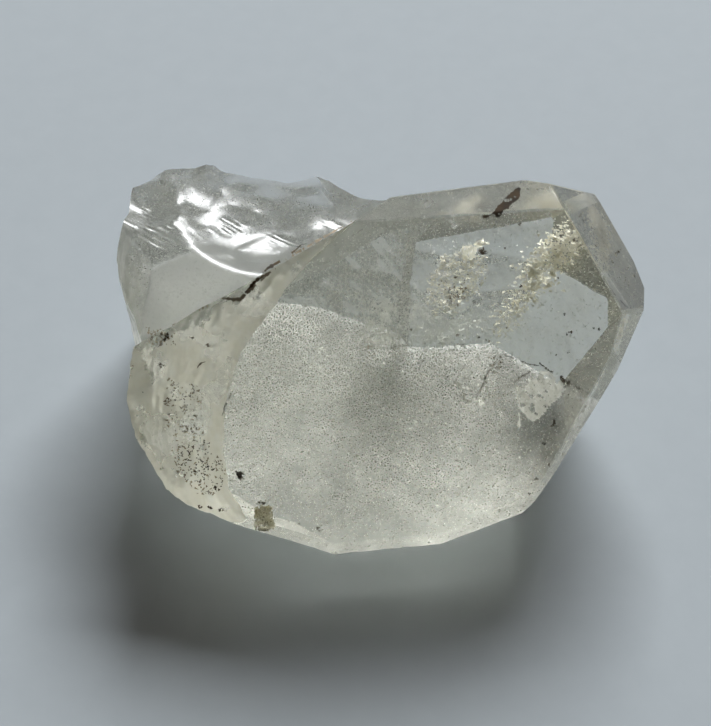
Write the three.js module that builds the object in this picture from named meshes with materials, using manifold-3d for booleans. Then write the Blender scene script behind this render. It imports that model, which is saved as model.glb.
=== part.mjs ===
// Quartz cluster: a stubby terminated quartz crystal grown together with a
// second, broken crystal behind it. One solid, in millimetres, +Z up. The
// specimen rests on a flat base at z = 0, and the origin is at the centre of
// its footprint box on that base.

import * as THREE from 'three';
import { ConvexGeometry } from 'three/addons/geometries/ConvexGeometry.js';
import { mergeVertices } from 'three/addons/utils/BufferGeometryUtils.js';
import Module from 'manifold-3d';

// ---------------------------------------------------------------- dimensions

// Crystal faces as [nx, ny, nz, d]: the solid lies where n . p <= d.
const MAIN_FACES = {
  bigRhomb: [0.0689, -0.7531, 0.6543, 15.996],      // large tilted face at the front
  topStrip: [0.0088, -0.1239, 0.9923, 27.922],      // narrow face along the top
  sideBand: [0.8067, 0.0051, 0.5910, 33.750],       // band on the right
  sideBandLow: [0.8703, -0.4767, 0.1240, 26.333],
  rightEdge: [0.7667, -0.6410, 0.0361, 22.804],     // long narrow face, lower right
  lowRim1: [0.3288, -0.9398, -0.0936, 18.010],      // narrow faces along the lower rim
  lowRim2: [0.1073, -0.9865, -0.1240, 16.766],
  lowRim3: [-0.1784, -0.9801, -0.0867, 17.401],
  tipTriangle: [0.6753, 0.1609, 0.7198, 35.557],    // small triangle at the tip
  backUpper: [-0.1548, 0.8422, 0.5164, 20.210],
  backTip: [0.1570, 0.6764, 0.7196, 29.851],
  backRight: [0.6431, 0.7605, -0.0900, 24.889],
  backRightLow: [0.8491, 0.4561, -0.2663, 24.885],
  underRight: [0.8262, -0.2737, -0.4924, 16.174],    // undercut below the right end
  underTip: [0.8379, -0.2102, -0.5037, 16.032],
  underRight2: [0.7714, -0.3291, -0.5447, 15.338],
  underFront1: [0.3194, -0.5343, -0.7826, 9.548],   // undercut below the lower rim
  underFront2: [0.0748, -0.5714, -0.8172, 7.992],
  underFront3: [-0.3102, -0.5366, -0.7848, 8.217],
  base: [0, 0, -1, 0],
  back: [-0.0523, 0.9937, -0.0995, 14.851],
  backCorner: [0.5868, 0.6750, -0.4472, 18.765],
  left0: [-0.9444, 0.3166, -0.0883, 18.418],        // broken left end
  left1: [-0.9316, 0.0327, -0.3620, 16.139],
  left2: [-0.8491, -0.1296, -0.5122, 14.265],
  left3: [-0.5389, -0.4119, -0.7348, 10.387],
  left4: [-0.3499, -0.4998, -0.7923, 8.147],
};

// The two planes of the valley wall between the crystals: what lies outside
// both of them is open.
const RIDGE_WALL = [-0.4638, 0.7536, 0.4658, 16.118];
const TOP_WALL = [-0.6046, 0.6588, 0.4478, 15.329];

// The second crystal: a near-level face on top and broken sides.
const REAR_FACES = {
  top: [-0.0197, -0.1580, 0.9872, 16.335],
  left1: [-0.9437, -0.3161, -0.0975, 19.555],
  left2: [-0.9783, -0.1832, -0.0972, 21.292],
  left3: [-0.9905, 0.0948, -0.0993, 24.155],
  back1: [-0.4935, 0.8641, -0.0993, 27.946],
  back2: [0.0686, 0.9927, -0.0995, 21.840],
  back3: [0.2289, 0.9683, -0.0995, 19.472],
  back4: [0.4304, 0.8972, -0.0994, 17.186],
  right: [0.9000, 0.4200, -0.1000, 10.900],
  front: [0.0994, -0.9938, -0.0497, -2.186],
  base: [0, 0, -1, 0],
};

// Step on the big face: left of this curve the face has broken away. The
// points are (s, t) in the plane of the face, from its origin.
const FACE_ORIGIN = [7.443, -6.366, 16.337];
const STEP_CURVE = [
  [-5.83, 17.65], [-7.61, 15.78], [-12.47, 11.25], [-16.54, 6.11], [-18.84, 2.94],
  [-20.15, -1.64], [-20.68, -5.85], [-20.31, -9.88], [-18.63, -13.34], [-16.85, -16.51],
];
const STEP_HEIGHT = 0.95;      // height of the step itself
const STEP_WIDTH = 0.6;
const STEP_SLOPE = 0.16;       // fall of the broken surface away from the step
const SECOND_STEP = 0.35;      // a lower step further out
const BREAK_RELIEF = 0.22;     // unevenness of the broken surface
const BREAK_GRID = 0.9;

// Shell-shaped breaks in the top of the second crystal: centre and radius.
const SHELL_BREAKS = [
  [-8.96, 15.90, 35.73, 20.0],
  [-21.96, 17.97, 24.15, 7.0],
  [-1.23, 17.53, 24.80, 9.0],
  [-14.25, 20.57, 26.34, 10.0],
];
const RIPPLE_CENTRE = [-21.0, 25.0];
const RIPPLE_LENGTH = 3.8;
const RIPPLE_HEIGHT = 0.09;
const SHELL_GRID = 0.9;

// Shell-shaped breaks in the walls, out of sight from the front.
const WALL_BREAKS = [
  [-6.0, 44.8, 8.0, 24.0],
  [-36.6, 14.0, 7.0, 14.0],
];

const QUARTZ = { color: 0xc9c7bd, roughness: 0.12, metalness: 0.0 };

// ------------------------------------------------------------------- helpers

const wasm = await Module();
wasm.setup();

function toSolid(geometry) {
  const g = geometry.clone();
  g.deleteAttribute('normal');
  g.deleteAttribute('uv');
  const merged = mergeVertices(g, 1e-5);
  return new wasm.Manifold(new wasm.Mesh({
    numProp: 3,
    vertProperties: new Float32Array(merged.attributes.position.array),
    triVerts: new Uint32Array(merged.index.array),
  }));
}

function toGeometry(solid) {
  const mesh = solid.getMesh();
  const positions = new Float32Array((mesh.vertProperties.length / mesh.numProp) * 3);
  for (let i = 0; i < positions.length / 3; i++) {
    for (let k = 0; k < 3; k++) positions[3 * i + k] = mesh.vertProperties[mesh.numProp * i + k];
  }
  const g = new THREE.BufferGeometry();
  g.setAttribute('position', new THREE.BufferAttribute(positions, 3));
  g.setIndex(new THREE.BufferAttribute(new Uint32Array(mesh.triVerts), 1));
  return g;
}

// Convex solid bounded by planes: every corner where three planes meet inside
// all the others, then the hull of the corners.
function convexFromPlanes(planes) {
  const p = planes.map(([x, y, z, d]) => {
    const l = Math.hypot(x, y, z);
    return { n: new THREE.Vector3(x / l, y / l, z / l), d: d / l };
  });
  const corners = [];
  const bc = new THREE.Vector3();
  const ca = new THREE.Vector3();
  const ab = new THREE.Vector3();
  for (let i = 0; i < p.length; i++) {
    for (let j = i + 1; j < p.length; j++) {
      for (let k = j + 1; k < p.length; k++) {
        bc.crossVectors(p[j].n, p[k].n);
        const det = p[i].n.dot(bc);
        if (Math.abs(det) < 1e-5) continue;
        ca.crossVectors(p[k].n, p[i].n);
        ab.crossVectors(p[i].n, p[j].n);
        const v = new THREE.Vector3()
          .addScaledVector(bc, p[i].d)
          .addScaledVector(ca, p[j].d)
          .addScaledVector(ab, p[k].d)
          .divideScalar(det);
        if (p.every((q) => q.n.dot(v) <= q.d + 1e-6)
          && corners.every((c) => c.distanceToSquared(v) > 1e-8)) corners.push(v);
      }
    }
  }
  return toSolid(new ConvexGeometry(corners));
}

const flip = ([x, y, z, d]) => [-x, -y, -z, -d];
const BIG_BOX = [
  [1, 0, 0, 90], [-1, 0, 0, 90], [0, 1, 0, 90], [0, -1, 0, 90], [0, 0, 1, 90], [0, 0, -1, 90],
];

// A cutter that removes everything above an uneven sheet: a box whose lower
// side follows height(s, t), placed by an origin and three directions.
function sheetCutter(sRange, tRange, grid, top, height, place) {
  const ls = sRange[1] - sRange[0];
  const lt = tRange[1] - tRange[0];
  const box = new THREE.BoxGeometry(ls, lt, 2, Math.round(ls / grid), Math.round(lt / grid), 1);
  const pos = box.attributes.position;
  for (let i = 0; i < pos.count; i++) {
    const s = pos.getX(i) + (sRange[0] + sRange[1]) / 2;
    const t = pos.getY(i) + (tRange[0] + tRange[1]) / 2;
    pos.setXYZ(i, s, t, pos.getZ(i) < 0 ? height(s, t) : top);
  }
  box.applyMatrix4(place);
  return toSolid(box);
}

const smooth = (a, b, x) => {
  const u = Math.min(1, Math.max(0, (x - a) / (b - a)));
  return u * u * (3 - 2 * u);
};

// Distance to the step curve in the plane of the big face: positive on the
// broken side.
const stepLine = new THREE.SplineCurve(STEP_CURVE.map(([s, t]) => new THREE.Vector2(s, t))).getPoints(72);
function beyondStep(s, t) {
  let best = Infinity;
  let side = 1;
  for (let i = 0; i + 1 < stepLine.length; i++) {
    const a = stepLine[i];
    const b = stepLine[i + 1];
    const ex = b.x - a.x;
    const ey = b.y - a.y;
    const u = Math.min(1, Math.max(0, ((s - a.x) * ex + (t - a.y) * ey) / (ex * ex + ey * ey)));
    const dx = s - a.x - u * ex;
    const dy = t - a.y - u * ey;
    const d = dx * dx + dy * dy;
    if (d < best) {
      best = d;
      side = ex * dy - ey * dx < 0 ? 1 : -1;
    }
  }
  return side * Math.sqrt(best);
}

function breakDepth(s, t) {
  const d = beyondStep(s, t);
  if (d <= 0) return Math.max(1.5 * d, -1.5);
  const uneven = 0.8 * Math.sin(0.8 * s + 0.35 * t + 1.3) * Math.sin(0.5 * t - 0.2 * s)
    + 0.45 * Math.sin(1.9 * d + 0.9 * Math.sin(0.55 * t));
  return STEP_HEIGHT * (1 - Math.exp(-d / STEP_WIDTH)) + STEP_SLOPE * d
    + SECOND_STEP * smooth(2.0, 2.9, d) + BREAK_RELIEF * uneven * smooth(0.5, 3.5, d);
}

function rearTop(x, y) {
  const [nx, ny, nz, d] = REAR_FACES.top;
  return (d - nx * x - ny * y) / nz;
}

function shellHeight(x, y) {
  const free = rearTop(x, y) + 1.5;
  let z = free;
  for (const [cx, cy, cz, r] of SHELL_BREAKS) {
    const q = r * r - (x - cx) ** 2 - (y - cy) ** 2;
    if (q > 0) z = Math.min(z, cz - Math.sqrt(q));
  }
  const rho = Math.hypot(x - RIPPLE_CENTRE[0], y - RIPPLE_CENTRE[1]);
  const depth = rearTop(x, y) - z;
  return z + RIPPLE_HEIGHT * Math.sin((2 * Math.PI * rho) / RIPPLE_LENGTH) * smooth(0.2, 1.6, depth);
}

// --------------------------------------------------------------------- build

// Main crystal: a convex form, opened by the valley at the upper left.
const valley = convexFromPlanes([flip(RIDGE_WALL), flip(TOP_WALL), ...BIG_BOX]);
const mainForm = convexFromPlanes(Object.values(MAIN_FACES)).subtract(valley);

// The broken zone at the left of the big face.
const n = new THREE.Vector3(...MAIN_FACES.bigRhomb.slice(0, 3)).normalize();
const e1 = new THREE.Vector3(1, 0, 0).addScaledVector(n, -n.x).normalize();
const e2 = new THREE.Vector3().crossVectors(n, e1);
const facePlace = new THREE.Matrix4().makeBasis(e1, e2, n).setPosition(...FACE_ORIGIN);
const breakCutter = sheetCutter([-38, -2], [-22, 23], BREAK_GRID, 14, (s, t) => -breakDepth(s, t), facePlace);
const mainCrystal = mainForm.subtract(breakCutter);

// Second crystal with the shell-shaped breaks in its top.
const shellCutter = sheetCutter([-32, 14], [-4, 32], SHELL_GRID, 45, shellHeight, new THREE.Matrix4());
const rearCrystal = convexFromPlanes(Object.values(REAR_FACES)).subtract(shellCutter);

let cluster = mainCrystal.add(rearCrystal);
for (const [x, y, z, r] of WALL_BREAKS) {
  cluster = cluster.subtract(toSolid(new THREE.IcosahedronGeometry(r, 9).translate(x, y, z)));
}

const geometry = toGeometry(cluster);
geometry.computeBoundingBox();
const box = geometry.boundingBox;
geometry.translate(-(box.min.x + box.max.x) / 2, -(box.min.y + box.max.y) / 2, 0);
geometry.computeVertexNormals();

const quartz = new THREE.Mesh(geometry, new THREE.MeshStandardMaterial(QUARTZ));
quartz.name = 'quartz_cluster';

const group = new THREE.Group();
group.name = 'specimen';
group.add(quartz);

export default group;
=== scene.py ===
import math

import bpy
import numpy as np
from mathutils import Matrix, Vector


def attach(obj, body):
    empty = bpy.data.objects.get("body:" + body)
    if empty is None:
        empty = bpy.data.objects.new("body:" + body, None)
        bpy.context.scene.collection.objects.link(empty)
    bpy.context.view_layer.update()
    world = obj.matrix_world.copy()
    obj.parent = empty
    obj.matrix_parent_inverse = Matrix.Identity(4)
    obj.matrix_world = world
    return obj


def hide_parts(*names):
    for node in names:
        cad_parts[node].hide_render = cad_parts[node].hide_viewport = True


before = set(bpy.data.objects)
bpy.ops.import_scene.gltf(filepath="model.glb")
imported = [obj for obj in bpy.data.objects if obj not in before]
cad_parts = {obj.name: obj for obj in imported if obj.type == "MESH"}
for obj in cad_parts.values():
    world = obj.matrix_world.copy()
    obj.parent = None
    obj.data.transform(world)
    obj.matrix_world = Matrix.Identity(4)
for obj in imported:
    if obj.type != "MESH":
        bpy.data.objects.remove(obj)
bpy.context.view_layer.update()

scene = bpy.context.scene

# ---------------------------------------------------------------------------
# The specimen's shape, in millimetres. SHIFT moves it to the frame's origin,
# the centre of the footprint on the base.

SHIFT = np.array([-2.5433, -3.5843, 0.0])
MM = 0.001

MAIN = {
    "T": (0.0689, -0.7531, 0.6543, 15.996),
    "S": (0.0088, -0.1239, 0.9923, 27.922),
    "B": (0.8067, 0.0051, 0.5910, 33.750),
    "B2": (0.8703, -0.4767, 0.1240, 26.333),
    "E": (0.7667, -0.6410, 0.0361, 22.804),
    "U1": (0.3288, -0.9398, -0.0936, 18.010),
    "U2": (0.1073, -0.9865, -0.1240, 16.766),
    "U3": (-0.1784, -0.9801, -0.0867, 17.401),
    "C": (0.6753, 0.1609, 0.7198, 35.557),
    "SK": (-0.1548, 0.8422, 0.5164, 20.210),
    "SK2": (0.1570, 0.6764, 0.7196, 29.851),
    "BK": (0.6431, 0.7605, -0.0900, 24.889),
    "BK2": (0.8491, 0.4561, -0.2663, 24.885),
    "EK": (0.8262, -0.2737, -0.4924, 16.174),
    "EKb": (0.8379, -0.2102, -0.5037, 16.032),
    "EK2": (0.7714, -0.3291, -0.5447, 15.338),
    "UK1": (0.3194, -0.5343, -0.7826, 9.548),
    "UK2": (0.0748, -0.5714, -0.8172, 7.992),
    "UK3": (-0.3102, -0.5366, -0.7848, 8.217),
    "base": (0.0, 0.0, -1.0, 0.0),
    "back": (-0.0523, 0.9937, -0.0995, 14.851),
    "back2": (0.5868, 0.6750, -0.4472, 18.765),
    "LW0": (-0.9444, 0.3166, -0.0883, 18.418),
    "LW1": (-0.9316, 0.0327, -0.3620, 16.139),
    "LW2": (-0.8491, -0.1296, -0.5122, 14.265),
    "LW3": (-0.5389, -0.4119, -0.7348, 10.387),
    "LW4": (-0.3499, -0.4998, -0.7923, 8.147),
}
RIDGE_WALL = (-0.4638, 0.7536, 0.4658, 16.118)
TOP_WALL = (-0.6046, 0.6588, 0.4478, 15.329)
REAR = {
    "top": (-0.0197, -0.1580, 0.9872, 16.335),
    "NL1": (-0.9437, -0.3161, -0.0975, 19.555),
    "NL2": (-0.9783, -0.1832, -0.0972, 21.292),
    "NL3": (-0.9905, 0.0948, -0.0993, 24.155),
    "NB1": (-0.4935, 0.8641, -0.0993, 27.946),
    "NB2": (0.0686, 0.9927, -0.0995, 21.840),
    "NB3": (0.2289, 0.9683, -0.0995, 19.472),
    "NB4": (0.4304, 0.8972, -0.0994, 17.186),
    "NR": (0.9000, 0.4200, -0.1000, 10.900),
    "NF": (0.0994, -0.9938, -0.0497, -2.186),
    "base": (0.0, 0.0, -1.0, 0.0),
}
FACE_ORIGIN = np.array([7.443, -6.366, 16.337])
STEP_CURVE = np.array([
    (-5.83, 17.65), (-7.61, 15.78), (-12.47, 11.25), (-16.54, 6.11), (-18.84, 2.94),
    (-20.15, -1.64), (-20.68, -5.85), (-20.31, -9.88), (-18.63, -13.34), (-16.85, -16.51)])
STEP_HEIGHT, STEP_WIDTH, STEP_SLOPE = 0.95, 0.6, 0.16
SECOND_STEP, BREAK_RELIEF = 0.35, 0.22
SHELLS = [(-8.96, 15.90, 35.73, 20.0), (-21.96, 17.97, 24.15, 7.0),
          (-1.23, 17.53, 24.80, 9.0), (-14.25, 20.57, 26.34, 10.0)]
RIPPLE_CENTRE, RIPPLE_LENGTH, RIPPLE_HEIGHT = (-21.0, 25.0), 3.8, 0.09
WALL_BREAKS = [(-6.0, 44.8, 8.0, 24.0), (-36.6, 14.0, 7.0, 14.0)]

# The photograph's camera, in the same millimetres.
W, H = 711, 726
ELEV = math.radians(47.0)
LENS, DIST = 100.0, 209.0
TARGET = np.array([0.0, 0.0, 12.0])
FPX = H * LENS / 36.0
RIGHT = np.array([1.0, 0.0, 0.0])
FWD = np.array([0.0, math.cos(ELEV), -math.sin(ELEV)])
UP = np.array([0.0, math.sin(ELEV), math.cos(ELEV)])
EYE = TARGET - FWD * DIST


def unit(v):
    v = np.asarray(v, float)
    return v / np.linalg.norm(v)


def norm_plane(p):
    n = np.array(p[:3], float)
    l = np.linalg.norm(n)
    return n / l, p[3] / l


NT, DT = norm_plane(MAIN["T"])
E1 = unit(np.array([1.0, 0, 0]) - NT[0] * NT)
E2 = np.cross(NT, E1)

# ---------------------------------------------------------------------------
# Noise, always from the same seeds.


def lattice(ix, iy, iz, seed):
    h = (ix * 73856093) ^ (iy * 19349663) ^ (iz * 83492791) ^ (seed * 97531 + 12345)
    h = (h ^ (h >> 13)) & 0xFFFFFFFF
    h = (h * 1274126177) & 0xFFFFFFFF
    h = (h ^ (h >> 16)) & 0xFFFFFFFF
    return h / 2147483647.5 - 1.0


def vnoise(p, seed=0):
    p = np.asarray(p, float)
    if p.shape[1] == 2:
        p = np.column_stack([p, np.zeros(len(p))])
    i = np.floor(p).astype(np.int64)
    f = p - i
    u = f * f * f * (f * (f * 6 - 15) + 10)
    out = 0
    for dx in (0, 1):
        for dy in (0, 1):
            for dz in (0, 1):
                w = ((u[:, 0] if dx else 1 - u[:, 0]) * (u[:, 1] if dy else 1 - u[:, 1])
                     * (u[:, 2] if dz else 1 - u[:, 2]))
                out = out + w * lattice(i[:, 0] + dx, i[:, 1] + dy, i[:, 2] + dz, seed)
    return out


def fbm(p, octaves=4, seed=0, gain=0.5):
    p = np.asarray(p, float)
    a, s, out = 1.0, 0.0, 0
    for k in range(octaves):
        out = out + a * vnoise(p * (2.03 ** k) + 7.1 * k, seed + k)
        s += a
        a *= gain
    return out / s


def scallop(s, t, spacing, radius, seed):
    """Shallow bowls that meet in sharp ridges: 0 at the lowest bowl centres."""
    gx, gy = np.floor(s / spacing).astype(np.int64), np.floor(t / spacing).astype(np.int64)
    best = np.full(s.shape, 1e9)
    z = np.zeros_like(gx)
    for dx in (-2, -1, 0, 1, 2):
        for dy in (-2, -1, 0, 1, 2):
            ix, iy = gx + dx, gy + dy
            px = (ix + 0.5 + 0.45 * lattice(ix, iy, z, seed)) * spacing
            py = (iy + 0.5 + 0.45 * lattice(ix, iy, z + 1, seed)) * spacing
            o = 0.16 * spacing * (0.5 + 0.5 * lattice(ix, iy, z + 2, seed))
            r = radius * (1.0 + 0.4 * lattice(ix, iy, z + 3, seed))
            best = np.minimum(best, ((s - px) ** 2 + (t - py) ** 2) / (2 * r) + o)
    return best


def smooth(a, b, x):
    u = np.clip((x - a) / (b - a), 0, 1)
    return u * u * (3 - 2 * u)


# ---------------------------------------------------------------------------
# Solids.


def link(me, name):
    ob = bpy.data.objects.new(name, me)
    scene.collection.objects.link(ob)
    return ob


def convex(planes):
    """Corners and faces of the solid where n . p <= d for every plane."""
    nd = [norm_plane(p) for p in planes]
    n = np.array([a for a, _ in nd])
    d = np.array([b for _, b in nd])
    m = len(n)
    tri = np.array([(i, j, k) for i in range(m) for j in range(i + 1, m) for k in range(j + 1, m)])
    a, b, c = n[tri[:, 0]], n[tri[:, 1]], n[tri[:, 2]]
    det = np.einsum("ij,ij->i", a, np.cross(b, c))
    ok = np.abs(det) > 1e-6
    tri, a, b, c, det = tri[ok], a[ok], b[ok], c[ok], det[ok]
    v = (d[tri[:, 0], None] * np.cross(b, c) + d[tri[:, 1], None] * np.cross(c, a)
         + d[tri[:, 2], None] * np.cross(a, b)) / det[:, None]
    inside = np.all(v @ n.T <= d + 1e-6, axis=1)
    v = v[inside]
    keep = []
    for p in v:
        if all(np.sum((p - q) ** 2) > 1e-9 for q in keep):
            keep.append(p)
    v = np.array(keep)
    faces = []
    for k in range(m):
        on = np.where(np.abs(v @ n[k] - d[k]) < 2e-5)[0]
        if len(on) < 3:
            continue
        cen = v[on].mean(0)
        x = unit(v[on[0]] - cen)
        y = np.cross(n[k], x)
        ang = np.arctan2((v[on] - cen) @ y, (v[on] - cen) @ x)
        faces.append((k, [int(i) for i in on[np.argsort(ang)]]))
    return v, faces, n, d


def chamfered(planes, width, skip=()):
    """The same solid with every edge taken off by a hair, as worn crystal edges are."""
    names = list(planes)
    v, faces, n, d = convex([planes[k] for k in names])
    edges = {}
    for k, f in faces:
        for a, b in zip(f, f[1:] + f[:1]):
            edges.setdefault((min(a, b), max(a, b)), []).append(k)
    out = [planes[k] for k in names]
    for i, ((a, b), ks) in enumerate(sorted(edges.items())):
        if len(ks) != 2 or any(names[k] in skip for k in ks):
            continue
        if np.dot(n[ks[0]], n[ks[1]]) > 0.985:
            continue
        m = unit(n[ks[0]] + n[ks[1]])
        w = width * (0.7 + 0.6 * ((i * 37) % 11) / 10.0)
        out.append((m[0], m[1], m[2], float(m @ v[a]) - w))
    return out


def solid(planes, name):
    v, faces, _, _ = convex(planes)
    me = bpy.data.meshes.new(name)
    me.from_pydata(v.tolist(), [], [f for _, f in faces])
    me.update()
    return link(me, name)


def sheet_cutter(s0, s1, t0, t1, step, top, height, origin, x, y, z, name):
    """Closed block over an uneven sheet: everything above height(s, t)."""
    ns, nt = int(round((s1 - s0) / step)) + 1, int(round((t1 - t0) / step)) + 1
    s, t = np.meshgrid(np.linspace(s0, s1, ns), np.linspace(t0, t1, nt), indexing="ij")
    s, t = s.ravel(), t.ravel()
    h = height(s, t)
    low = origin + s[:, None] * x + t[:, None] * y + h[:, None] * z
    cs, ct = np.array([s0, s1, s1, s0]), np.array([t0, t0, t1, t1])
    ring = ([i * nt for i in range(ns)] + [(ns - 1) * nt + j for j in range(1, nt)]
            + [i * nt + nt - 1 for i in range(ns - 2, -1, -1)] + [j for j in range(nt - 2, 0, -1)])
    rs, rt = s[ring], t[ring]
    up = origin + rs[:, None] * x + rt[:, None] * y + top * z
    verts = np.vstack([low, up, (origin + (s0 + s1) / 2 * x + (t0 + t1) / 2 * y + top * z)[None]])
    i, j = np.meshgrid(np.arange(ns - 1), np.arange(nt - 1), indexing="ij")
    a = (i * nt + j).ravel()
    # split the quads into triangles, turned the other way in a checker
    flip = ((i + j) % 2).ravel().astype(bool)
    q = np.column_stack([a, a + 1, a + nt + 1, a + nt])
    t1_ = np.where(flip[:, None], q[:, [0, 1, 3]], q[:, [0, 1, 2]])
    t2_ = np.where(flip[:, None], q[:, [1, 2, 3]], q[:, [0, 2, 3]])
    faces = np.vstack([t1_, t2_]).tolist()
    m, base, mid = len(ring), len(low), len(verts) - 1
    for k in range(m):
        k2 = (k + 1) % m
        faces.append([ring[k], ring[k2], base + k2])
        faces.append([ring[k], base + k2, base + k])
        faces.append([base + k, base + k2, mid])
    me = bpy.data.meshes.new(name)
    me.from_pydata(verts.tolist(), [], faces)
    me.update()
    return link(me, name)


def boolean(a, b, op):
    m = a.modifiers.new("cut", "BOOLEAN")
    m.object, m.operation, m.solver = b, op, "MANIFOLD"
    dg = bpy.context.evaluated_depsgraph_get()
    me = bpy.data.meshes.new_from_object(a.evaluated_get(dg))
    a.modifiers.clear()
    old, a.data = a.data, me
    bpy.data.meshes.remove(old)
    data = b.data
    bpy.data.objects.remove(b)
    bpy.data.meshes.remove(data)
    if not me.polygons:
        raise RuntimeError("a cut left nothing")


def spline(points, count):
    out = []
    n = len(points)
    for k in range(count + 1):
        p = (n - 1) * k / count
        i = min(int(p), n - 1)
        w = p - i
        p0, p1 = points[max(i - 1, 0)], points[i]
        p2, p3 = points[min(i + 1, n - 1)], points[min(i + 2, n - 1)]
        v0, v1 = (p2 - p0) * 0.5, (p3 - p1) * 0.5
        out.append((2 * p1 - 2 * p2 + v0 + v1) * w ** 3 + (-3 * p1 + 3 * p2 - 2 * v0 - v1) * w ** 2 + v0 * w + p1)
    return np.array(out)


STEP_LINE = spline(STEP_CURVE, 72)


def beyond_step(s, t):
    best = np.full(s.shape, 1e9)
    side = np.ones(s.shape)
    for a, b in zip(STEP_LINE[:-1], STEP_LINE[1:]):
        e = b - a
        u = np.clip(((s - a[0]) * e[0] + (t - a[1]) * e[1]) / (e @ e), 0, 1)
        dx, dy = s - a[0] - u * e[0], t - a[1] - u * e[1]
        d = dx * dx + dy * dy
        near = d < best
        best = np.where(near, d, best)
        side = np.where(near, np.where(e[0] * dy - e[1] * dx < 0, 1.0, -1.0), side)
    return side * np.sqrt(best)


def break_depth(s, t):
    p = np.column_stack([s, t])
    d = beyond_step(s, t) + 0.22 * fbm(p * 0.55, 3, 11) + 0.06 * fbm(p * 2.6, 2, 15)
    uneven = (0.8 * np.sin(0.8 * s + 0.35 * t + 1.3) * np.sin(0.5 * t - 0.2 * s)
              + 0.45 * np.sin(1.9 * d + 0.9 * np.sin(0.55 * t)))
    pos = np.maximum(d, 0)
    depth = (STEP_HEIGHT * (1 - np.exp(-pos / STEP_WIDTH)) + STEP_SLOPE * pos
             + SECOND_STEP * smooth(2.0, 2.9, pos) + BREAK_RELIEF * uneven * smooth(0.5, 3.5, pos))
    fine = smooth(0.3, 2.2, pos)
    depth = depth + fine * (0.55 * (scallop(s * 1.25, t * 0.8, 2.3, 3.2, 21) - 0.35)
                            + 0.16 * fbm(p * 1.3, 4, 31)
                            + 0.05 * np.abs(fbm(p * 4.0, 2, 37)))
    depth = depth + smooth(0.0, 0.5, pos) * 0.03 * np.sin(9.0 * pos + 2.0 * fbm(p * 0.7, 2, 41))
    return np.where(d <= 0, np.maximum(1.5 * d, -1.5), depth)


def rear_top(x, y):
    n, d = norm_plane(REAR["top"])
    return (d - n[0] * x - n[1] * y) / n[2]


# where the break is combed into fine lines: (x, y, half length, half width)
COMBED = [(-21.2, 13.4, 4.6, 2.0), (-13.7, 15.9, 1.8, 1.8), (-7.6, 13.8, 3.2, 1.5), (-1.2, 15.8, 3.6, 1.2), (-22.6, 17.2, 1.6, 1.4)]
COMB_ALONG, COMB_ACROSS = np.array([0.82, -0.57]), np.array([0.57, 0.82])


def shell_height(x, y):
    p = np.column_stack([x, y])
    top = rear_top(x, y)
    bowl = np.full(x.shape, 60.0)
    for cx, cy, cz, r in SHELLS:
        q = r * r - (x - cx) ** 2 - (y - cy) ** 2
        dish = np.where(q > 0, cz - np.sqrt(np.maximum(q, 0)), 60.0)
        # worn ridges between one bowl and the next
        bowl = -0.35 * np.logaddexp(-bowl / 0.35, -dish / 0.35)
    warp = fbm(p * 0.3, 3, 51)
    depth = top - bowl
    bowl = bowl + smooth(-0.5, 1.0, depth) * (0.10 * warp + 0.14 * (scallop(x * 0.6, y * 0.9, 4.2, 9.0, 61) - 0.5))
    rho = np.hypot(x - RIPPLE_CENTRE[0], y - RIPPLE_CENTRE[1])
    bowl = bowl + 0.35 * RIPPLE_HEIGHT * np.sin(2 * np.pi * (rho + 1.5 * warp) / RIPPLE_LENGTH) * smooth(0.2, 1.6, depth)
    # the comb lines of the break
    along, across = p @ COMB_ALONG, p @ COMB_ACROSS
    line = across + 0.22 * vnoise(np.column_stack([along * 0.35, across * 0.7]), 75) + 0.05 * vnoise(p * 1.7, 77)
    comb = np.sin(2 * np.pi * line / 0.62) * (0.6 + 0.6 * vnoise(np.column_stack([along * 0.5, across * 1.9]), 79))
    mask = np.zeros(x.shape)
    for cx, cy, a, b in COMBED:
        da = (x - cx) * COMB_ALONG[0] + (y - cy) * COMB_ALONG[1]
        db = (x - cx) * COMB_ACROSS[0] + (y - cy) * COMB_ACROSS[1]
        mask = np.maximum(mask, 1 - smooth(0.45, 1.1, np.hypot(da / a, db / b) + 0.25 * fbm(p * 0.7, 2, 81)))
    # a rounded lip where the bowls meet the growth face
    k = 0.2
    z = top + 0.03 - k * np.logaddexp(0.0, (top + 0.03 - bowl) / k)
    z = z - mask * (0.07 + 0.036 * comb)
    return z


main_planes = chamfered(MAIN, 0.07, skip=("base",))
main = solid(main_planes, "main")
valley = solid([tuple(-x for x in RIDGE_WALL), tuple(-x for x in TOP_WALL),
                (1, 0, 0, 90), (-1, 0, 0, 90), (0, 1, 0, 90), (0, -1, 0, 90), (0, 0, 1, 90), (0, 0, -1, 90)], "valley")
boolean(main, valley, "DIFFERENCE")

FINE = 0.17
WALL = 0.3


def wall_cut(target, plane, centre, hs, ht, seed, depth, spacing=3.6):
    """Takes an uneven skin off one side, as a break leaves it."""
    n, d = norm_plane(plane)
    x = unit(np.cross([0, 0, 1.0], n))
    y = np.cross(n, x)
    o = np.array(centre, float)
    o = o + (d - n @ o) * n

    def height(s, t):
        p = np.column_stack([s, t])
        h = (0.8 * scallop(s, t, spacing, spacing * 1.5, seed)
             + 0.10 * fbm(p * 1.1, 4, seed + 3) + 0.05
             + 0.03 * np.sin(5.0 * np.hypot(s - 9, t + 12) + 2 * fbm(p * 0.4, 2, seed + 5)))
        return -np.clip(h, 0.0, 1.6) * depth

    boolean(target, sheet_cutter(-hs, hs, -ht, ht, WALL, 6.0, height, o, x, y, n, "wall"), "DIFFERENCE")


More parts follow.
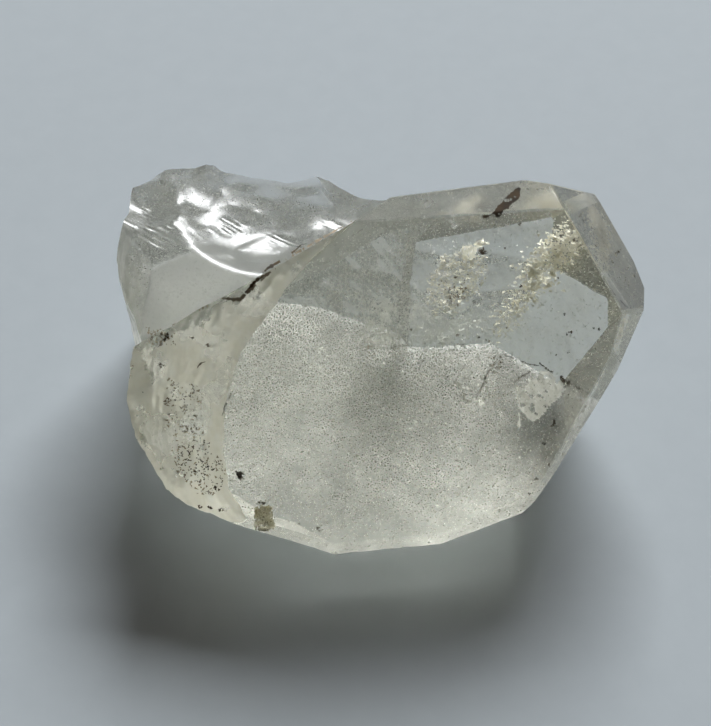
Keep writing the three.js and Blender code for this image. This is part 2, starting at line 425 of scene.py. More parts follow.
wall_cut(main, MAIN["LW0"], (-22, -4, 14), 8, 14, 101, 0.5, 2.6)
wall_cut(main, MAIN["LW1"], (-22, -7, 10), 8, 14, 111, 0.5, 2.6)
wall_cut(main, MAIN["LW2"], (-20, -9, 8), 8, 14, 121, 0.5, 2.6)
wall_cut(main, MAIN["LW3"], (-17, -12, 5), 9, 12, 131, 0.45, 2.4)
wall_cut(main, MAIN["LW4"], (-14, -14, 4), 10, 12, 141, 0.45, 2.4)
wall_cut(main, MAIN["UK1"], (9, -12, 2), 14, 12, 151, 0.35, 3.0)
wall_cut(main, MAIN["UK2"], (2, -15, 2), 14, 10, 161, 0.35, 3.0)
wall_cut(main, MAIN["UK3"], (-8, -14, 2), 14, 12, 171, 0.40, 2.8)
wall_cut(main, MAIN["back"], (0, 15, 8), 24, 16, 181, 0.30, 4.2)
wall_cut(main, MAIN["back2"], (20, 14, 8), 14, 16, 191, 0.12, 5.0)
boolean(main, sheet_cutter(-38, -2, -22, 23, FINE, 14, lambda s, t: -break_depth(s, t),
                           FACE_ORIGIN, E1, E2, NT, "broken"), "DIFFERENCE")

rear = solid(chamfered(REAR, 0.07, skip=("base",)), "rear")
for k, c, hs, ht in (("NL1", (-23, 3, 8), 8, 13), ("NL2", (-24, 8, 8), 8, 13), ("NL3", (-24, 15, 8), 10, 13),
                     ("NB1", (-20, 22, 8), 11, 13), ("NB2", (-13, 23, 8), 10, 13), ("NB3", (-6, 22, 8), 11, 13),
                     ("NB4", (2, 20, 8), 10, 13), ("NR", (5, 15, 8), 14, 13)):
    wall_cut(rear, REAR[k], c, hs, ht, 200 + 10 * len(k) + ord(k[1]) + ord(k[-1]), 0.4)
boolean(rear, sheet_cutter(-29, 13, 0, 30, 0.125, 45, shell_height, np.zeros(3),
                           np.array([1.0, 0, 0]), np.array([0, 1.0, 0]), np.array([0, 0, 1.0]), "shell"), "DIFFERENCE")

boolean(main, rear, "UNION")


def ball(c, r, seed):
    """A bite with rippled sides."""
    import bmesh
    bm = bmesh.new()
    bmesh.ops.create_icosphere(bm, subdivisions=7, radius=1.0)
    me = bpy.data.meshes.new("ball")
    bm.to_mesh(me)
    bm.free()
    co = np.zeros(len(me.vertices) * 3)
    me.vertices.foreach_get("co", co)
    co = co.reshape(-1, 3)
    p = co * r
    f = r + 0.22 * fbm(p * 0.35, 4, seed) + 0.05 * np.sin(2.1 * np.linalg.norm(p - np.array([0, -r, -0.4 * r]), axis=1) + 3 * fbm(p * 0.2, 2, seed + 9))
    co = co * f[:, None] + np.array(c)
    me.vertices.foreach_set("co", co.ravel())
    me.update()
    return link(me, "ball")


for k, (x, y, z, r) in enumerate(WALL_BREAKS):
    boolean(main, ball((x, y, z), r, 300 + k), "DIFFERENCE")

crystal = main
crystal.name = "crystal"
me = crystal.data
me.name = "crystal"
me.materials.clear()

# Which faces are flat growth faces and which are breaks.
nf = len(me.polygons)
cen = np.zeros(nf * 3); me.polygons.foreach_get("center", cen); cen = cen.reshape(-1, 3)
nor = np.zeros(nf * 3); me.polygons.foreach_get("normal", nor); nor = nor.reshape(-1, 3)
ROUGH_SIDES = {"back", "back2", "LW0", "LW1", "LW2", "LW3", "LW4", "UK1", "UK2", "UK3", "NL1", "NL2", "NL3", "NB1", "NB2", "NB3", "NB4", "NR"}
kind = np.full(nf, -1)
flat_names = []
for name, plane in list(MAIN.items()) + [("RW", RIDGE_WALL), ("TW", TOP_WALL)] + [(k + "_r", p) for k, p in REAR.items()]:
    if name in ROUGH_SIDES or name[:-2] in ROUGH_SIDES:
        continue
    n, d = norm_plane(plane)
    hit = (nor @ n > 0.9995) & (np.abs(cen @ n - d) < 0.004)
    kind[hit] = len(flat_names)
    flat_names.append(name)
for plane in main_planes[len(MAIN):]:
    n, d = norm_plane(plane)
    hit = (kind < 0) & (nor @ n > 0.9995) & (np.abs(cen @ n - d) < 0.004)
    kind[hit] = 1000
print("faces", nf, "flat", int((kind >= 0).sum()), {flat_names[k]: int((kind == k).sum()) for k in range(len(flat_names))})

# Edges: sharp where two growth faces meet or where a break meets a face.
loop_edge = np.zeros(len(me.loops), int); me.loops.foreach_get("edge_index", loop_edge)
start = np.zeros(nf, int); me.polygons.foreach_get("loop_start", start)
total = np.zeros(nf, int); me.polygons.foreach_get("loop_total", total)
loop_face = np.repeat(np.arange(nf), total)
order = np.argsort(loop_edge, kind="stable")
le, lf = loop_edge[order], loop_face[order]
first = np.searchsorted(le, np.arange(len(me.edges)), "left")
last = np.searchsorted(le, np.arange(len(me.edges)), "right") - 1
fa, fb = lf[first], lf[last]
dots = np.einsum("ij,ij->i", nor[fa], nor[fb])
sharp = (kind[fa] != kind[fb]) | ((kind[fa] < 0) & (dots < math.cos(math.radians(50))))
sharp |= last - first != 1
att = me.attributes.new("sharp_edge", "BOOLEAN", "EDGE")
att.data.foreach_set("value", sharp)
me.polygons.foreach_set("use_smooth", np.ones(nf, bool))

# Surface roughness, how much of the iron stain reaches each face, and a painted shade on the tip's side faces.
rough = np.full(nf, 0.45)
flat_rough = {"T": 0.05, "S": 0.26, "B": 0.06, "B2": 0.06, "E": 0.06, "C": 0.06, "base": 0.7, "base_r": 0.7,
              "top_r": 0.16, "SK": 0.25, "SK2": 0.2, "BK": 0.2, "BK2": 0.2,
              "RW": 0.3, "TW": 0.3, "U1": 0.12, "U2": 0.12, "U3": 0.12, "NF_r": 0.3}
for k, name in enumerate(flat_names):
    rough[kind == k] = flat_rough.get(name, 0.12)
rough[kind == 1000] = 0.25
# painted shade: a dark brown tint on the tip's side faces B, C and BK2
brown_shade = np.zeros(nf)
for name, much in (("B", 1.0), ("C", 0.9), ("BK2", 0.6)):
    brown_shade[kind == flat_names.index(name)] = much
local = cen - FACE_ORIGIN
fs, ft, fh = local @ E1, local @ E2, local @ NT
left_zone = (kind < 0) & (fh > -4.8) & (beyond_step(fs, ft) > -0.4) & (cen[:, 1] < 6) & (fh < 0.2)
shell_zone = (kind < 0) & ~left_zone & (nor[:, 2] > 0.5) & (cen[:, 2] > 12)
rough[shell_zone] = 0.25
rough[left_zone] = 0.28
broken = np.zeros(nf)
broken[left_zone] = 1.0
broken[(kind < 0) & ~left_zone & ~shell_zone] = 0.55
att = me.attributes.new("rough", "FLOAT", "FACE")
att.data.foreach_set("value", rough)
att = me.attributes.new("stain", "FLOAT", "FACE")
att.data.foreach_set("value", broken)
att = me.attributes.new("brown_shade", "FLOAT", "FACE")
att.data.foreach_set("value", brown_shade)

me.transform(Matrix.Scale(MM, 4) @ Matrix.Translation(Vector(SHIFT)))
me.update()

# ---------------------------------------------------------------------------
# Materials.


def new_material(name):
    m = bpy.data.materials.new(name)
    m.use_nodes = True
    nt = m.node_tree
    nt.nodes.clear()
    out = nt.nodes.new("ShaderNodeOutputMaterial")
    bsdf = nt.nodes.new("ShaderNodeBsdfPrincipled")
    nt.links.new(bsdf.outputs["BSDF"], out.inputs["Surface"])
    return m, nt, out, bsdf


def node(nt, kind_, **values):
    n = nt.nodes.new(kind_)
    for k, v in values.items():
        setattr(n, k, v)
    return n


def math_node(nt, op, a, b=None, clamp=False):
    n = node(nt, "ShaderNodeMath", operation=op, use_clamp=clamp)
    for i, v in enumerate((a, b)):
        if v is None:
            continue
        if isinstance(v, (int, float)):
            n.inputs[i].default_value = v
        else:
            nt.links.new(v, n.inputs[i])
    return n.outputs[0]


def noise_tex(nt, coord, scale, detail=3.0, rough_=0.55):
    n = node(nt, "ShaderNodeTexNoise")
    n.inputs["Scale"].default_value = scale
    n.inputs["Detail"].default_value = detail
    n.inputs["Roughness"].default_value = rough_
    nt.links.new(coord, n.inputs["Vector"])
    return n.outputs["Fac"]


quartz, nt, out, bsdf = new_material("quartz")
coord = node(nt, "ShaderNodeTexCoord").outputs["Object"]
bsdf.inputs["Transmission Weight"].default_value = 1.0
bsdf.inputs["IOR"].default_value = 1.544
absorb = node(nt, "ShaderNodeVolumeAbsorption")
absorb.inputs["Color"].default_value = (0.84, 0.83, 0.62, 1.0)
absorb.inputs["Density"].default_value = 16.0
nt.links.new(absorb.outputs["Volume"], out.inputs["Volume"])
a_rough = node(nt, "ShaderNodeAttribute", attribute_name="rough").outputs["Fac"]
a_stain = node(nt, "ShaderNodeAttribute", attribute_name="stain").outputs["Fac"]
n1 = noise_tex(nt, coord, 260.0, 4.0)
n2 = noise_tex(nt, coord, 900.0, 3.0)
# roughness: each zone's own, uneven in patches
r = math_node(nt, "MULTIPLY", a_rough, math_node(nt, "ADD", math_node(nt, "MULTIPLY", n1, 0.7), 0.65), True)
nt.links.new(r, bsdf.inputs["Roughness"])
# colour: clear, with iron stain in the breaks
ramp = node(nt, "ShaderNodeValToRGB")
ramp.color_ramp.elements[0].position = 0.34
ramp.color_ramp.elements[0].color = (0.995, 0.995, 0.985, 1)
ramp.color_ramp.elements[1].position = 0.80
ramp.color_ramp.elements[1].color = (0.80, 0.75, 0.63, 1)
st = math_node(nt, "MULTIPLY", a_stain, math_node(nt, "ADD", n1, math_node(nt, "MULTIPLY", n2, 0.35)), True)
nt.links.new(st, ramp.inputs["Fac"])
# painted shade: the tip's side faces get a dark brown tint, lighter in spots
shade_ramp = node(nt, "ShaderNodeValToRGB")
shade_ramp.color_ramp.elements[0].position = 0.36
shade_ramp.color_ramp.elements[0].color = (0.36, 0.32, 0.26, 1)
shade_ramp.color_ramp.elements[1].position = 0.66
shade_ramp.color_ramp.elements[1].color = (0.66, 0.64, 0.57, 1)
nt.links.new(n1, shade_ramp.inputs["Fac"])
mix = node(nt, "ShaderNodeMix", data_type="RGBA")
nt.links.new(node(nt, "ShaderNodeAttribute", attribute_name="brown_shade").outputs["Fac"], mix.inputs["Factor"])
nt.links.new(ramp.outputs["Color"], mix.inputs["A"])
nt.links.new(shade_ramp.outputs["Color"], mix.inputs["B"])
nt.links.new(mix.outputs["Result"], bsdf.inputs["Base Color"])
bump = node(nt, "ShaderNodeBump")
bump.inputs["Strength"].default_value = 0.10
bump.inputs["Distance"].default_value = 0.00012
nt.links.new(math_node(nt, "ADD", n1, math_node(nt, "MULTIPLY", n2, 0.5)), bump.inputs["Height"])
nt.links.new(bump.outputs["Normal"], bsdf.inputs["Normal"])
me.materials.append(quartz)

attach(crystal, "root")
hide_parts("quartz_cluster")

# ---------------------------------------------------------------------------
# What is sealed in the crystal: clouds of tiny inclusions, healed cracks, iron.

INWARD = 1.0 / 1.544
# how deep the breaks go on the uneven sides
SKIN = {"back": 0.5, "back2": 0.22, "LW0": 0.8, "LW1": 0.8, "LW2": 0.8, "LW3": 0.75, "LW4": 0.75, "UK1": 0.6, "UK2": 0.6, "UK3": 0.7}


def view_ray(u, v):
    u, v = np.broadcast_arrays(np.asarray(u, float), np.asarray(v, float))
    d = FWD + ((u - W / 2) / FPX)[..., None] * RIGHT + ((H / 2 - v) / FPX)[..., None] * UP
    return d / np.linalg.norm(d, axis=-1, keepdims=True)


def through_face(u, v, name="T"):
    """Where a line of sight meets a face, and the way it goes on inside."""
    n, d = norm_plane(MAIN[name])
    r = view_ray(u, v)
    t = (d - EYE @ n) / (r @ n)
    c = -(r @ n)
    k = np.sqrt(1 - INWARD ** 2 * (1 - c * c))
    return EYE + t[..., None] * r, INWARD * r + (INWARD * c - k)[..., None] * n


def deep(u, v, depth):
    p, d = through_face(u, v)
    return p + np.broadcast_to(np.asarray(depth, float), p.shape[:-1])[..., None] * d


def on_sheet(u, v, point, normal):
    """On a sheet inside the crystal, as seen through the big face."""
    p, d = through_face(u, v)
    n = unit(normal)
    t = ((np.asarray(point) - p) @ n) / (d @ n)
    return p + t[..., None] * d


def within(p, margin):
    """Inside the main crystal and clear of its skin."""
    ok = np.ones(len(p), bool)
    for k, pl in MAIN.items():
        n, d = norm_plane(pl)
        ok &= p @ n < d - margin - SKIN.get(k, 0.0)
    (na, da), (nb, db) = norm_plane(RIDGE_WALL), norm_plane(TOP_WALL)
    ok &= (p @ na < da - margin) | (p @ nb < db - margin)
    q = p - FACE_ORIGIN
    near = np.where(ok & (q @ E1 < -3.0) & (q @ NT > -7.0))[0]
    ok[near] &= -(q[near] @ NT) > np.maximum(break_depth(q[near] @ E1, q[near] @ E2), 0) + margin
    for x, y, z, r in WALL_BREAKS:
        ok &= np.linalg.norm(p - np.array([x, y, z]), axis=1) > r + 0.5 + margin
    return ok


def within_rear(p, margin):
    ok = np.ones(len(p), bool)
    for k, pl in REAR.items():
        n, d = norm_plane(pl)
        ok &= p @ n < d - margin - (0.8 if k in ROUGH_SIDES else 0.0)
    near = np.where(ok)[0]
    ok[near] &= p[near, 2] < shell_height(p[near, 0], p[near, 1]) - margin
    for x, y, z, r in WALL_BREAKS:
        ok &= np.linalg.norm(p - np.array([x, y, z]), axis=1) > r + 0.5 + margin
    return ok


def flakes(points, size, rng, flat=None, jitter=0.3, slim=1.0):
    """Tiny three-cornered flakes; flat gives the way they lie."""
    n = len(points)
    a = rng.normal(size=(n, 3))
    if flat is not None:
        a = np.asarray(flat, float) + jitter * a
    a /= np.linalg.norm(a, axis=1, keepdims=True)
    b = np.cross(a, rng.normal(size=(n, 3)))
    b /= np.linalg.norm(b, axis=1, keepdims=True)
    c = np.cross(a, b)
    size = np.broadcast_to(np.asarray(size, float), (n,))
    turn = np.array([0.0, 2.1, 4.2]) + rng.uniform(-0.55, 0.55, (n, 3))
    far = size[:, None] * rng.uniform(0.55, 1.15, (n, 3)) * 0.62
    v = (points[:, None, :] + (far * np.cos(turn))[..., None] * b[:, None, :]
         + (slim * far * np.sin(turn))[..., None] * c[:, None, :])
    return v.reshape(-1, 3), np.arange(3 * n).reshape(-1, 3)


def in_outline(u, v, poly):
    poly = np.asarray(poly, float)
    inside = np.zeros(u.shape, bool)
    for (x0, y0), (x1, y1) in zip(poly, np.roll(poly, -1, axis=0)):
        if y0 == y1:
            continue
        cross = ((y0 > v) != (y1 > v)) & (u < (x1 - x0) * (v - y0) / (y1 - y0) + x0)
        inside ^= cross
    return inside


def scatter(poly, n, rng, patch=0.0, scale=0.08, seed=0):
    """Places in an outline; patch makes them gather in clouds."""
    poly = np.asarray(poly, float)
    lo, hi = poly.min(0), poly.max(0)
    q = rng.uniform(lo, hi, (int(n), 2))
    keep = in_outline(q[:, 0], q[:, 1], poly)
    if patch:
        keep &= fbm(q * scale, 3, seed) + 0.35 * rng.normal(size=len(q)) > patch
    return q[keep, 0], q[keep, 1]


def film(poly, place, step, seed, holes=-0.2, ruffle=0.1, warp=2.0, sealed=True):
    """A thin sheet with a torn rim and holes."""
    poly = np.asarray(poly, float)
    lo, hi = poly.min(0) - 3, poly.max(0) + 3
    nu, nv = int((hi[0] - lo[0]) / step) + 1, int((hi[1] - lo[1]) / step) + 1
    rng = np.random.default_rng(seed)
    u, v = np.meshgrid(lo[0] + step * np.arange(nu), lo[1] + step * np.arange(nv), indexing="ij")
    u = u + rng.uniform(-0.3, 0.3, u.shape) * step
    v = v + rng.uniform(-0.3, 0.3, v.shape) * step
    q = np.column_stack([u.ravel(), v.ravel()])
    wu = u.ravel() + warp * fbm(q * 0.16, 3, seed + 1)
    wv = v.ravel() + warp * fbm(q * 0.16, 3, seed + 2)
    ok = in_outline(wu, wv, poly) & (fbm(q * 0.22, 4, seed + 3) > holes)
    p = np.full((len(q), 3), np.nan)
    p[ok] = place(q[ok, 0], q[ok, 1])
    if sealed:
        p[ok] += (ruffle * fbm(q[ok] * 0.12, 4, seed + 4))[:, None] * np.array([0.1, -0.2, 0.97])
        ok[ok] &= within(p[ok], 0.05)
    ok &= np.isfinite(p).all(axis=1)
    i, j = np.meshgrid(np.arange(nu - 1), np.arange(nv - 1), indexing="ij")
    a = (i * nv + j).ravel()
    tri = np.vstack([np.column_stack([a, a + nv, a + nv + 1]), np.column_stack([a, a + nv + 1, a + 1])])
    tri = tri[ok[tri].all(axis=1)]
    side = np.linalg.norm(p[tri] - p[np.roll(tri, 1, axis=1)], axis=2).max(axis=1)
    tri = tri[side < 4 * np.median(side)] if len(tri) else tri
    used, inv = np.unique(tri.ravel(), return_inverse=True)
    return p[used], inv.reshape(-1, 3)


def ribbon(path, width, place, seed, sealed=True, gaps=-9.0):
    """A narrow strip along a path, of uneven width."""
    path = np.asarray(path, float)
    leg = np.linalg.norm(np.diff(path, axis=0), axis=1)
    at = np.concatenate([[0], np.cumsum(leg)])
    k = np.linspace(0, at[-1], max(int(at[-1] / 0.9), 3))
    c = np.column_stack([np.interp(k, at, path[:, 0]), np.interp(k, at, path[:, 1])])
    c = c + 0.5 * np.column_stack([fbm(c * 0.3, 2, seed), fbm(c * 0.3, 2, seed + 1)])
    side = np.gradient(c, axis=0)
    side = np.column_stack([-side[:, 1], side[:, 0]]) / np.linalg.norm(side, axis=1, keepdims=True)
    w = width * 0.5 * (0.45 + 1.1 * np.abs(vnoise(c * 0.35, seed + 2)))
    w = w * np.minimum(1, 0.25 + 4 * np.minimum(np.arange(len(c)), np.arange(len(c))[::-1]) / len(c))
    a, b = c + w[:, None] * side, c - w[:, None] * side
    p = np.vstack([place(a[:, 0], a[:, 1]), place(b[:, 0], b[:, 1])])
    ok = np.isfinite(p).all(axis=1)
    if sealed:
        ok[ok] &= within(p[ok], 0.05)
    n = len(c)
    i = np.arange(n - 1)
    tri = np.vstack([np.column_stack([i, i + 1, n + i + 1]), np.column_stack([i, n + i + 1, n + i])])
    keep = ok[tri].all(axis=1) & np.tile(vnoise(c[:-1] * 0.12, seed + 3) > gaps, 2)
    tri = tri[keep]
    side = np.linalg.norm(p[tri] - p[np.roll(tri, 1, axis=1)], axis=2).max(axis=1)
    tri = tri[side < 5 * np.median(side)] if len(tri) else tri
    used, inv = np.unique(tri.ravel(), return_inverse=True)
    return p[used], inv.reshape(-1, 3)


def joined(name, chunks, material):
    verts, faces, base = [], [], 0
    for v, f in chunks:
        verts.append(v)
        faces.append(f + base)
        base += len(v)
    verts, faces = np.vstack(verts), np.vstack(faces)
    m = bpy.data.meshes.new(name)
    m.from_pydata(((verts + SHIFT) * MM).tolist(), [], faces.tolist())
    m.update()
    m.materials.append(material)
    ob = link(m, name)
    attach(ob, "root")
    print(name, len(faces), "triangles")
    return ob


def grain(name, dark, light, scale, rough_, lo=0.35, hi=0.65, through=0.0, gloss=0.0):
    """An uneven, matt material between two colours; through is how much light a thin flake lets pass."""
    m, nt, out, bsdf = new_material(name)
    coord = node(nt, "ShaderNodeTexCoord").outputs["Object"]
    ramp = node(nt, "ShaderNodeValToRGB")
    ramp.color_ramp.elements[0].position, ramp.color_ramp.elements[0].color = lo, (*dark, 1)
    ramp.color_ramp.elements[1].position, ramp.color_ramp.elements[1].color = hi, (*light, 1)
    nt.links.new(noise_tex(nt, coord, scale, 4.0, 0.6), ramp.inputs["Fac"])
    nt.links.new(ramp.outputs["Color"], bsdf.inputs["Base Color"])
    bsdf.inputs["Roughness"].default_value = rough_
    bsdf.inputs["Metallic"].default_value = gloss
    if through:
        glow = node(nt, "ShaderNodeBsdfTranslucent")
        both = node(nt, "ShaderNodeMixShader")
        nt.links.new(ramp.outputs["Color"], glow.inputs["Color"])
        both.inputs["Fac"].default_value = through
        nt.links.new(bsdf.outputs["BSDF"], both.inputs[1])
        nt.links.new(glow.outputs["BSDF"], both.inputs[2])
        nt.links.new(both.outputs["Shader"], out.inputs["Surface"])
    return m


haze_mat = grain("haze", (0.90, 0.90, 0.87), (0.97, 0.97, 0.95), 400.0, 0.6, through=0.62)

rng = np.random.default_rng(11)
box = rng.uniform([-23, -19, 0.3], [33, 19, 29], (520000, 3))
box = box[within(box, 0.35)]
cloud = fbm(box * np.array([0.16, 0.16, 0.22]), 3, 401)
thick = np.clip(0.42 + 0.9 * cloud, 0.06, 1.0) * np.where(box[:, 0] > 14, np.clip(1.0 - (box[:, 0] - 14) / 9.0, 0.25, 1), 1.0)
box = box[rng.random(len(box)) < thick]
box2 = rng.uniform([-27, 0, 0.3], [12, 27, 22], (260000, 3))
box2 = box2[within_rear(box2, 0.35)]
cloud2 = fbm(box2 * 0.2, 3, 421)
box2 = box2[rng.random(len(box2)) < np.clip(0.5 + 0.8 * cloud2, 0.1, 1.0)]
print("haze", len(box), len(box2))
box = box[:60000]
box2 = box2[:54000]
points = np.vstack([box, box2])
haze = joined("haze", [flakes(points, rng.uniform(0.08, 0.20, len(points)), rng)], haze_mat)

from mathutils.bvhtree import BVHTree

skin_co = np.zeros(len(me.vertices) * 3)
me.vertices.foreach_get("co", skin_co)
skin_tree = BVHTree.FromPolygons(skin_co.reshape(-1, 3).tolist(), [tuple(f.vertices) for f in me.polygons])


def surface(u, v, lift=0.02, normals=False):
    """On the crystal's outside, just proud of it."""
    u, v = np.atleast_1d(u).astype(float), np.atleast_1d(v).astype(float)
    r = view_ray(u, v)
    eye = Vector((EYE + SHIFT) * MM)
    pos, nrm = np.full((len(u), 3), np.nan), np.full((len(u), 3), np.nan)
    for k in range(len(u)):
        hit, n, _, _ = skin_tree.ray_cast(eye, Vector(r[k]))
        if hit is not None:
            nrm[k] = n if n.dot(Vector(r[k])) < 0 else -n
            pos[k] = np.array(hit) / MM - SHIFT + lift * nrm[k]
    return (pos, nrm) if normals else pos


def behind(inset):
    """Just inside the back faces, as seen through the big face."""
    walls = [norm_plane(MAIN[k]) for k in ("back", "back2", "BK", "BK2", "SK", "SK2")]

    def place(u, v):
        p, d = through_face(u, v)
        t = np.full(np.shape(u), 1e3)
        for n, w in walls:
            run = d @ n
            t = np.where(run > 0.01, np.minimum(t, (w - inset - p @ n) / np.maximum(run, 0.01)), t)
        return p + t[..., None] * d
    return place


def level(z, lean=(0.0, 0.0)):
    def place(u, v):
        return on_sheet(u, v, (8.0, 4.0, z), (lean[0], lean[1], 1.0))
    return place


def cloud_at(poly, n, place, size, rng, patch=0.0, seed=0, spread=0.5, flat=None, jitter=0.6, slim=1.0):
    """A gathering of flakes about a sheet."""
    u, v = scatter(poly, n, rng, patch, 0.09, seed)
    q = place(u, v) + spread * rng.normal(size=(len(u), 3))
    q = q[within(q, 0.15)]
    return flakes(q, rng.uniform(size[0], size[1], len(q)), rng, flat, jitter, slim)


def dots_at(dots, depth, rng, each=7):
    """Single bright or dark grains: (u, v, radius in pixels)."""
    out = []
    for k, (u, v, r) in enumerate(dots):
        z = depth[0] + (depth[1] - depth[0]) * ((k * 0.618) % 1.0)
        c = deep(np.array([u]), np.array([v]), z)[0]
        r = r * 0.1
        q = c + 0.35 * r * rng.normal(size=(each, 3))
        q = q[within(q, 0.1)]
        out.append(flakes(q, 1.3 * r, rng, (0.1, 0.1, 1.0), 0.25))
    return out


def dirt_at(poly, n, size, rng, patch=0.0, seed=0, jitter=0.12, slim=0.6):
    """Flecks on the outside."""
    u, v = scatter(poly, n, rng, patch, 0.13, seed)
    pos, nrm = surface(u, v, 0.03, True)
    ok = np.isfinite(pos).all(axis=1)
    a = nrm[ok]
    return flakes(pos[ok], rng.uniform(size[0], size[1], int(ok.sum())), rng, a, jitter, slim)


def spots_at(dots, rng, each=6):
    out = []
    for u, v, r in dots:
        q = np.array([u, v]) + 0.45 * r * rng.normal(size=(each, 2))
        pos, nrm = surface(q[:, 0], q[:, 1], 0.03, True)
        ok = np.isfinite(pos).all(axis=1)
        if ok.any():
            out.append(flakes(pos[ok], r * 0.11, rng, nrm[ok], 0.15))
    return out


white_mat = grain("white_veil", (0.90, 0.91, 0.88), (0.97, 0.98, 0.96), 700.0, 0.45, through=0.12, gloss=0.5)
veil_mat = grain("pale_veil", (0.90, 0.91, 0.86), (0.97, 0.98, 0.95), 600.0, 0.5, through=0.8)
cream_mat = grain("cream_veil", (0.80, 0.75, 0.58), (0.97, 0.95, 0.84), 520.0, 0.45, 0.30, 0.50, through=0.12, gloss=0.5)
band_mat = grain("cream_band", (0.78, 0.72, 0.54), (0.98, 0.96, 0.86), 520.0, 0.5, 0.30, 0.50, through=0.8)
iron_mat = grain("iron", (0.018, 0.012, 0.006), (0.100, 0.062, 0.025), 600.0, 0.85)
tan_mat = grain("tan_stain", (0.20, 0.155, 0.10), (0.46, 0.38, 0.26), 480.0, 0.75)

rng = np.random.default_rng(23)
white, veil, cream, band, iron, tan = [], [], [], [], [], []
lift = (0.0, 0.15, 1.0)

# the patch below the top edge, left
spot = level(16.2, (0.10, 0.10))
cream.append(film([(458, 253), (463, 245), (472, 243), (477, 240), (484, 238), (491, 243), (483, 247), (478, 249),
                   (476, 257), (470, 261), (463, 261)], spot, 1.3, 501, -0.6, 0.25, 1.2))
iron.append(film([(478, 248), (489, 244), (491, 256), (484, 259), (478, 262), (476, 255)], spot, 1.2, 511, 0.02, 0.3, 1.5))
patch1 = [(434, 268), (452, 250), (480, 256), (486, 268), (478, 292), (464, 300), (450, 314), (432, 312), (426, 290)]
cream.append(cloud_at(patch1, 1500, spot, (0.2, 0.75), rng, 0.0, 521, 0.25, (0.1, 0.1, 1.0), 0.22, 0.5))
white.append(cloud_at(patch1, 1000, spot, (0.15, 0.5), rng, 0.0, 525, 0.3, (0.1, 0.1, 1.0), 0.22, 0.5))
iron.append(cloud_at(patch1, 420, spot, (0.12, 0.40), rng, 0.05, 531, 0.25, (0.1, 0.1, 1.0), 0.3, 0.45))
white.append(cloud_at([(418, 228), (492, 222), (486, 250), (440, 262), (414, 272)], 700, spot, (0.12, 0.42), rng, 0.08, 537, 0.5, (0.1, 0.1, 1.0), 0.22, 0.6))
tan.append(cloud_at([(446, 282), (466, 284), (464, 300), (454, 312), (446, 304)], 120, spot, (0.2, 0.55), rng, -0.3, 533, 0.2))
white.append(cloud_at([(420, 226), (492, 222), (505, 250), (486, 312), (424, 320), (414, 272)], 900, spot, (0.08, 0.28), rng, 0.05, 535, 1.2))

# the band along the hidden back edge
back_in = behind(0.75)
band.append(film([(526, 268), (534, 253), (541, 246), (550, 237), (562, 231), (575, 232), (582, 244), (577, 252), (566, 258),
                   (558, 268), (549, 279), (541, 285), (531, 288), (522, 286)], back_in, 1.4, 541, -0.10, 0.5, 2.5))
band.append(film([(522, 282), (541, 284), (534, 297), (525, 308), (515, 322), (503, 335), (493, 339), (497, 325), (508, 306), (514, 292)],
                  back_in, 1.4, 551, 0.06, 0.5, 3.0))
tan.append(cloud_at([(500, 304), (516, 310), (512, 326), (498, 338), (488, 342), (492, 326)], 170, back_in, (0.15, 0.5), rng, 0.0, 553, 0.3))
veil.append(cloud_at([(522, 262), (545, 240), (572, 230), (586, 246), (560, 276), (530, 306), (500, 336), (490, 336), (505, 300)],
                      800, back_in, (0.12, 0.5), rng, 0.0, 555, 0.6))
shine = (0.1, 0.1, 1.0)
cream.append(cloud_at([(524, 272), (534, 253), (550, 237), (562, 231), (577, 232), (583, 245), (566, 260), (549, 281), (531, 290)],
                      2600, behind(1.8), (0.25, 0.8), rng, -0.05, 557, 0.6, shine, 0.18, 0.7))
cream.append(cloud_at([(516, 290), (541, 284), (528, 306), (514, 324), (500, 337), (492, 338), (500, 316)],
                      1100, behind(1.8), (0.2, 0.6), rng, 0.0, 559, 0.6, shine, 0.2, 0.7))
white.append(cloud_at([(356, 312), (376, 298), (400, 294), (430, 304), (480, 318), (496, 338), (440, 343), (380, 346)],
                      3600, behind(1.6), (0.15, 0.5), rng, 0.03, 565, 0.7, shine, 0.2, 0.7))
for a, b in (((540, 257), (547, 268)), ((545, 255), (554, 267)), ((550, 261), (557, 268)), ((543, 260), (549, 270)), ((536, 259), (541, 267))):
    white.append(ribbon([a, b], 2.2, level(12.5, (0.1, 0.1)), 561 + a[0]))
veil.append(film([(528, 258), (536, 254), (542, 260), (543, 270), (537, 275), (529, 273), (526, 266)], behind(1.2), 1.4, 571, -0.3, 0.4))
iron += dots_at([(561, 235, 2.2), (564, 234, 1.5), (574, 240, 2.0), (577, 241, 1.4), (555, 249, 1.4), (546, 244, 1.5), (548, 245, 1.2),
                 (521, 286, 1.8), (558, 278, 1.2)], (8.0, 8.5), rng)

# the white film and the cracks about the right end of the base
low = level(3.2, (0.10, 0.12))
white.append(film([(512, 394), (517, 385), (523, 379), (532, 372), (540, 370), (547, 370), (555, 375), (561, 380), (564, 387), (568, 391),
                   (560, 398), (553, 405), (546, 412), (541, 420), (533, 422), (525, 417), (520, 411), (517, 402)], low, 1.5, 581, -0.45, 0.12, 2.0))
iron.append(ribbon([(539, 363), (544, 367), (550, 371), (556, 372), (561, 376), (564, 382), (566, 388), (570, 391)], 3.0, low, 591))
iron.append(ribbon([(503, 354), (512, 358), (522, 362), (532, 365), (541, 366)], 1.5, low, 601, True, -0.4))
iron.append(ribbon([(513, 384), (519, 378), (526, 374), (533, 370)], 1.6, low, 611, True, -0.4))
iron.append(ribbon([(492, 366), (485, 378), (481, 388), (477, 396), (474, 403)], 1.9, low, 621, True, -0.5))
tan.append(cloud_at([(487, 358), (500, 360), (503, 368), (494, 374), (487, 368)], 90, low, (0.15, 0.5), rng, -0.2, 623, 0.15))
tan.append(cloud_at([(497, 392), (510, 388), (514, 402), (508, 412), (498, 410)], 90, low, (0.15, 0.5), rng, -0.1, 625, 0.2))
